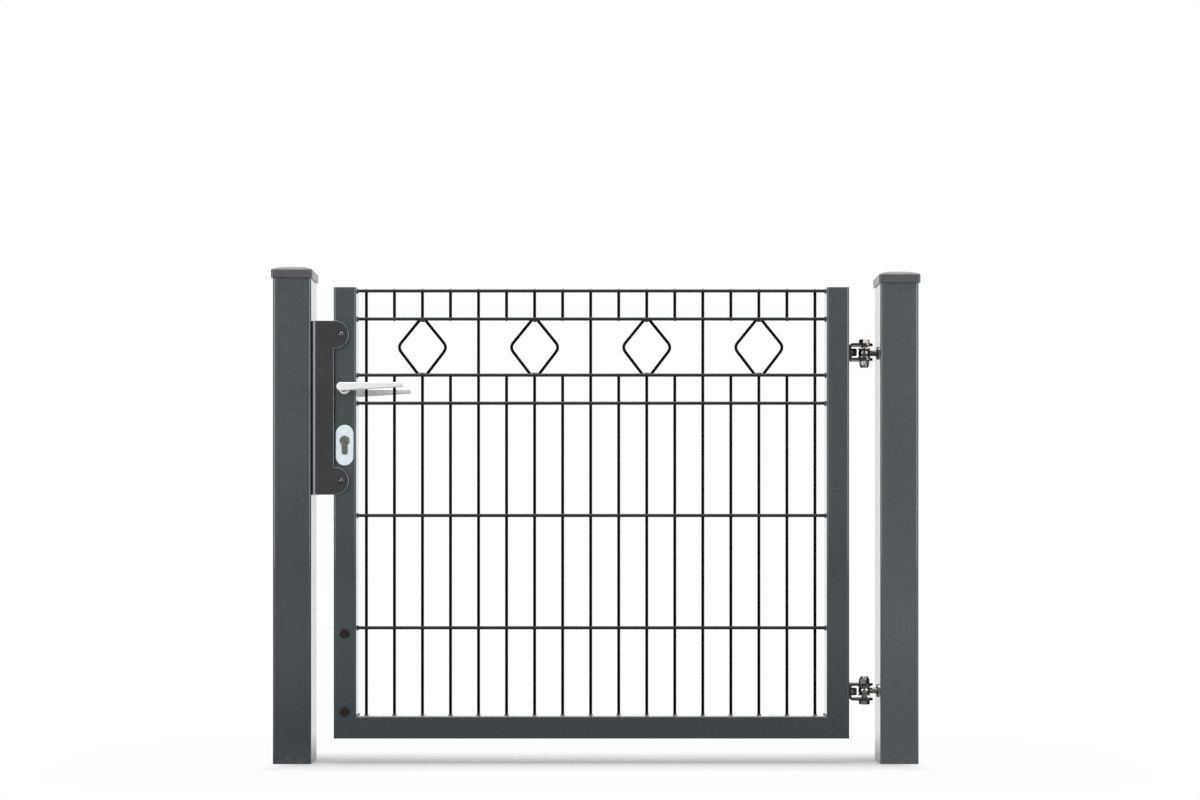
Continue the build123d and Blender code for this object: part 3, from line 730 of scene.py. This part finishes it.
def frame_mitre_welds():
    """Seams at the two lower corners of the leaf: flat outside, a full bead in the inner corner."""
    bm = bmesh.new()
    for side, outer, inner in ((1, leaf_left, inner_left), (-1, leaf_right, inner_right)):
        for y in (leaf_front, leaf_back):
            start = (outer + side * MITRE_OUTER_INSET, y, leaf_foot + MITRE_OUTER_INSET)
            end = (inner - side * MITRE_INNER_INSET, y, rail_top - MITRE_INNER_INSET)
            weld_run(bm, start, end, MITRE_RADIUS, MITRE_SEED + side, MITRE_FLATNESS)
        corner_x, corner_z = inner + side * CORNER_BEAD_OUT, rail_top + CORNER_BEAD_OUT
        start = (corner_x, leaf_front + CORNER_BEAD_INSET, corner_z)
        end = (corner_x, leaf_back - CORNER_BEAD_INSET, corner_z)
        weld_run(bm, start, end, CORNER_BEAD_RADIUS, CORNER_BEAD_SEED + side, 1.0)
    keep("frame_mitre_welds", bm, "gate_leaf", "powder_coat", "weld")


# Small parts

def eyebolts():
    """Forged eyes of oval section around the hinge pins, with their shanks in the hinge post."""
    for level in ("upper", "lower"):
        node, pin = f"{level}_eyebolt", f"{level}_hinge_pin"
        x, y, z = middle(pin, X), middle(node, Y), middle(node, Z)
        outer = x - low(node, X)
        half = (outer - EYE_BORE) / 2
        half_height = (high(node, Z) - low(node, Z)) / 2
        bm = bmesh.new()
        torus(bm, (x, y, z), (0, 0, 1), EYE_BORE + half, half, half_height, sides=28, steps=72)
        ends = [(x + EYE_BORE + half, y, z), (high(node, X), y, z)]
        wire(bm, ends, SHANK_RADIUS, sides=36, end_round=CUT_END_ROUND)
        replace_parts(keep(f"{level}_forged_eyebolt", bm, "posts", "zinc_plate"), node)


def eyebolt_threads():
    """Threads on the bare part of each eyebolt, between its eye and its washer."""
    for level in ("upper", "lower"):
        bolt, pin = f"{level}_eyebolt", f"{level}_hinge_pin"
        eye_edge = 2 * middle(pin, X) - low(bolt, X)
        y, z = middle(bolt, Y), middle(bolt, Z)
        bm = bmesh.new()
        start = (eye_edge - THREAD_INTO_EYE, y, z)
        end = (low(f"{level}_eyebolt_washer", X), y, z)
        thread(bm, start, end, SHANK_RADIUS)
        keep(f"{level}_eyebolt_thread", bm, "posts", "zinc_plate")


def cylinder_plug_rings():
    """A ring around the turning plug, on both faces of the lock cylinder."""
    bm = bmesh.new()
    x = middle("lock_cylinder", X)
    barrel_radius = (high("lock_cylinder", X) - low("lock_cylinder", X)) / 2
    z = high("lock_cylinder", Z) - barrel_radius
    for y in (low("lock_cylinder", Y), high("lock_cylinder", Y)):
        torus(bm, (x, y, z), (0, 1, 0), PLUG_RADIUS, PLUG_RING_RADIUS)
    keep("cylinder_plug_rings", bm, "gate_leaf", "cylinder_nickel")


def forend_screws():
    """The two screws of the lock's face plate."""
    bm = bmesh.new()
    y = middle("lock_forend", Y)
    for z in (low("lock_forend", Z) + FOREND_SCREW_INSET, high("lock_forend", Z) - FOREND_SCREW_INSET):
        seat = (low("lock_forend", X), y, z)
        socket_screw(bm, seat, (-1, 0, 0), FOREND_SCREW_RADIUS, FOREND_SCREW_DOME)
    keep("forend_screws", bm, "gate_leaf", "zinc_plate")


def strike_screws():
    """Button head screws of the strike plate, with hexagon sockets."""
    for level in ("upper", "lower"):
        node = f"{level}_strike_screw"
        radius = (high(node, Z) - low(node, Z)) / 2
        seat = low("strike_plate", X) + SHEET
        bm = bmesh.new()
        place = (seat, middle(node, Y), middle(node, Z))
        socket_screw(bm, place, (1, 0, 0), radius, high(node, X) - seat, seat - low(node, X))
        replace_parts(keep(f"{level}_button_screw", bm, "posts", "zinc_plate"), node)


def stop_studs():
    """The domed studs in the lobes of the strike plate."""
    for level in ("upper", "lower"):
        node = f"{level}_stop_stud"
        radius = (high(node, Z) - low(node, Z)) / 2
        seat = low("strike_plate", Y)
        bm = bmesh.new()
        place = (middle(node, X), seat, middle(node, Z))
        dome, shank = seat - low(node, Y), high(node, Y) - seat
        domed_stud(bm, place, (0, -1, 0), radius, dome, shank, radius * STUD_SHANK_SHARE)
        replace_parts(keep(f"{level}_domed_stud", bm, "posts", "stud_dark"), node)


def lever_grub_screws():
    """A grub screw in the underside of each lever's neck."""
    bm = bmesh.new()
    x, z = middle("lever_spindle", X), middle("lever_spindle", Z)
    for y in (leaf_front - GRUB_OFF_LEAF, leaf_back + GRUB_OFF_LEAF):
        socket_screw(bm, (x, y, z - GRUB_BELOW_SPINDLE), (0, 0, -1), GRUB_RADIUS, GRUB_DOME)
    keep("lever_grub_screws", bm, "levers", "zinc_plate")


mesh_uprights()
mesh_cross_wires()
mesh_spot_welds()
mesh_end_welds()
frame_mitre_welds()
eyebolts()
eyebolt_threads()
cylinder_plug_rings()
forend_screws()
strike_screws()
stop_studs()
lever_grub_screws()


# Stage, light and camera

GATE_CENTRE = (cad_box[0][0] + cad_box[1][0]) / 2

# How bright the surroundings are in reflections, and the world as plain light, where 1 is white
FRONT_LEVEL = 0.25
SIDE_LEVEL = 0.04
FLOOR_ASIDE_LEVEL = 0.45
PLAIN_WORLD_LEVEL = 0.56

# Floor: half its length, its grain, and how far from the gate's centre it has turned into the backdrop
FLOOR_REACH = 14.0
FLOOR_GRAIN = ((0.57, 0.57, 0.57), (0.59, 0.59, 0.59))
FLOOR_HALF_WIDTH = 0.95
FLOOR_HALF_DEPTH = 0.40

# How much the floor shines in the band between the posts, and how much of its own colour is hidden there,
# which together paint a shadow in it
FLOOR_EMISSION_IN_PAINTED_SHADOW = 0.20
FLOOR_HIDDEN_IN_PAINTED_SHADOW = 0.41

# The band between the posts that keeps the closed gate's shadow and holds a painted shadow, grey without the
# gate too, and the share of shadow that the rest of the floor keeps
SHADOW_CENTRE_Y = 0.01
SHADOW_FADE_ACROSS = (0.50, 0.58)
SHADOW_FADE_DEPTH = (0.015, 0.140)
SHADOW_SHARE_AWAY = 0.05

# Where reflections change, as metres on the floor and as parts of a direction in the world
FLOOR_ASIDE = (0.7, 1.3)
FLOOR_BEHIND = (-0.2, 0.5)
FLOOR_DIMMED = (-0.1, 0.1)
FLOOR_DIMMED_MOST = 0.75
WORLD_BEHIND = (0.1, 0.45)
WORLD_AHEAD = (-0.8, -0.6)

# Area lamps: name, place, width, height and watts
LAMPS = (
    ("key", (-2.4, -3.0, 3.2), 2.4, 2.4, 14),
    ("fill", (1.6, -2.8, 2.2), 2.4, 2.4, 6),
    ("top", (GATE_CENTRE, 0.05, 2.6), 2.6, 2.2, 62),
    ("left_box", (GATE_CENTRE - 2.1, -1.8, 1.15), 2.0, 1.7, 27),
    ("right_box", (GATE_CENTRE + 2.1, -1.8, 1.15), 2.0, 1.7, 27),
)
LAMP_TARGET = (GATE_CENTRE, 0, 0.45)

# Camera, fitted to the photograph, with its lens shift in pixels of the photograph
CAMERA_PLACE = (-0.537, -3.138, 0.3785)
LENS = 52.69
SENSOR_WIDTH = 36
PHOTO_WIDTH = 1200
SHIFT_RIGHT = 4
SHIFT_UP = 150


def kinds_of_ray(tree):
    """1 for camera and transmission rays, and 1 for glossy rays, as two outputs."""
    path = tree.nodes.new("ShaderNodeLightPath")
    plain = calculate(tree, "MAXIMUM", path.outputs["Is Camera Ray"], path.outputs["Is Transmission Ray"])
    return plain, path.outputs["Is Glossy Ray"]


def without_shadow(tree, across, depth):
    """0 in the band between the posts, where the floor keeps real shadow and a painted shadow, rising to 1
    where the floor is plain backdrop.
    """
    away_x = calculate(tree, "POWER", calculate(tree, "DIVIDE", across, FLOOR_HALF_WIDTH), 4.0)
    away_y = calculate(tree, "POWER", calculate(tree, "DIVIDE", depth, FLOOR_HALF_DEPTH), 4.0)
    backdrop = spread(tree, calculate(tree, "ADD", away_x, away_y), 0.05, 1.0, 0.0, 1.0)
    beside = calculate(tree, "ABSOLUTE", across)
    off_band = calculate(tree, "ABSOLUTE", calculate(tree, "SUBTRACT", depth, SHADOW_CENTRE_Y))
    past_posts = spread(tree, beside, *SHADOW_FADE_ACROSS, 0.0, 1 - SHADOW_SHARE_AWAY)
    past_band = spread(tree, off_band, *SHADOW_FADE_DEPTH, 0.0, 1 - SHADOW_SHARE_AWAY)
    return calculate(tree, "MAXIMUM", backdrop, calculate(tree, "MAXIMUM", past_posts, past_band))


def floor_material():
    """White to the eye but for a painted shadow in a band between the posts; dim in reflections."""
    mat = new_material("floor", (0.8, 0.8, 0.8), 0.9, specular=0.0)
    tree = mat.node_tree
    shader = shader_of(mat)
    at = coords(mat)
    axes = axes_of(tree, at)
    depth = axes["Y"]
    across = calculate(tree, "SUBTRACT", axes["X"], GATE_CENTRE)
    far = without_shadow(tree, across, depth)
    plain, glossy = kinds_of_ray(tree)

    beside = calculate(tree, "ABSOLUTE", across)
    aside = spread(tree, beside, *FLOOR_ASIDE, FRONT_LEVEL, FLOOR_ASIDE_LEVEL)
    behind = spread(tree, depth, *FLOOR_BEHIND, 0.0, 1.0)
    reflected = calculate(tree, "MULTIPLY", glossy, calculate(tree, "MAXIMUM", aside, behind))
    shown = calculate(tree, "ADD", plain, reflected)
    # Less shine and more hidden colour in the band paint a shadow there
    level = spread(tree, far, 0.0, 1.0, FLOOR_EMISSION_IN_PAINTED_SHADOW, 1.0)
    shader.inputs["Emission Color"].default_value = (1, 1, 1, 1)
    link(tree, calculate(tree, "MULTIPLY", shown, level), shader.inputs["Emission Strength"])

    either = calculate(tree, "MAXIMUM", plain, glossy)
    dimmed = calculate(tree, "MULTIPLY", glossy, spread(tree, depth, *FLOOR_DIMMED, FLOOR_DIMMED_MOST, 0.0))
    drowned = spread(tree, far, 0.0, 1.0, FLOOR_HIDDEN_IN_PAINTED_SHADOW, 1.0)
    hidden = calculate(tree, "MAXIMUM", calculate(tree, "MULTIPLY", either, drowned), dimmed)
    grain = blend(tree, noise(mat, at, 3, 2), *FLOOR_GRAIN)
    link(tree, blend(tree, hidden, grain, (0.0, 0.0, 0.0)), shader.inputs["Base Color"])
    return mat


def floor():
    """The floor, at the posts' feet."""
    mesh = bpy.data.meshes.new("floor")
    half = FLOOR_REACH
    corners = [(-half, -half, 0), (half, -half, 0), (half, half, 0), (-half, half, 0)]
    mesh.from_pydata(corners, [], [(0, 1, 2, 3)])
    obj = bpy.data.objects.new("floor", mesh)
    bpy.context.scene.collection.objects.link(obj)
    mesh.materials.append(floor_material())


def studio_world():
    """White to the eye; in reflections white behind the gate, dim in front and nearly dark beside it."""
    world = bpy.data.worlds.new("studio")
    bpy.context.scene.world = world
    world.use_nodes = True
    tree = world.node_tree
    background = tree.nodes["Background"]
    direction = tree.nodes.new("ShaderNodeTexCoord")
    depth = axes_of(tree, direction.outputs["Generated"])["Y"]
    behind = spread(tree, depth, *WORLD_BEHIND, SIDE_LEVEL, 1.0)
    ahead = spread(tree, depth, *WORLD_AHEAD, FRONT_LEVEL - SIDE_LEVEL, 0.0)
    around = calculate(tree, "ADD", behind, ahead)
    plain, glossy = kinds_of_ray(tree)
    mixed = calculate(tree, "ADD", plain, calculate(tree, "MULTIPLY", glossy, around))
    diffuse = calculate(tree, "SUBTRACT", 1.0, calculate(tree, "MAXIMUM", plain, glossy))
    strength = calculate(tree, "ADD", mixed, calculate(tree, "MULTIPLY", diffuse, PLAIN_WORLD_LEVEL))
    link(tree, strength, background.inputs["Strength"])
    background.inputs["Color"].default_value = (1, 1, 1, 1)


def area_lamp(name, at, width, height, power):
    """A rectangular lamp that shines at the gate and isn't seen by the camera."""
    light = bpy.data.lights.new(name, "AREA")
    light.shape = "RECTANGLE"
    light.size = width
    light.size_y = height
    light.energy = power
    obj = bpy.data.objects.new(name, light)
    bpy.context.scene.collection.objects.link(obj)
    obj.location = at
    obj.rotation_euler = (Vector(LAMP_TARGET) - Vector(at)).to_track_quat("-Z", "Y").to_euler()
    obj.visible_camera = False


def camera():
    """The photograph's viewing place: level, low and in front of the gate."""
    data = bpy.data.cameras.new("camera")
    data.sensor_width = SENSOR_WIDTH
    data.lens = LENS
    data.shift_x = SHIFT_RIGHT / PHOTO_WIDTH
    data.shift_y = SHIFT_UP / PHOTO_WIDTH
    obj = bpy.data.objects.new("camera", data)
    bpy.context.scene.collection.objects.link(obj)
    obj.location = CAMERA_PLACE
    obj.rotation_euler = (math.radians(90), 0, 0)
    bpy.context.scene.camera = obj


floor()
studio_world()
for lamp in LAMPS:
    area_lamp(*lamp)
camera()
bpy.context.scene.view_settings.view_transform = "Standard"
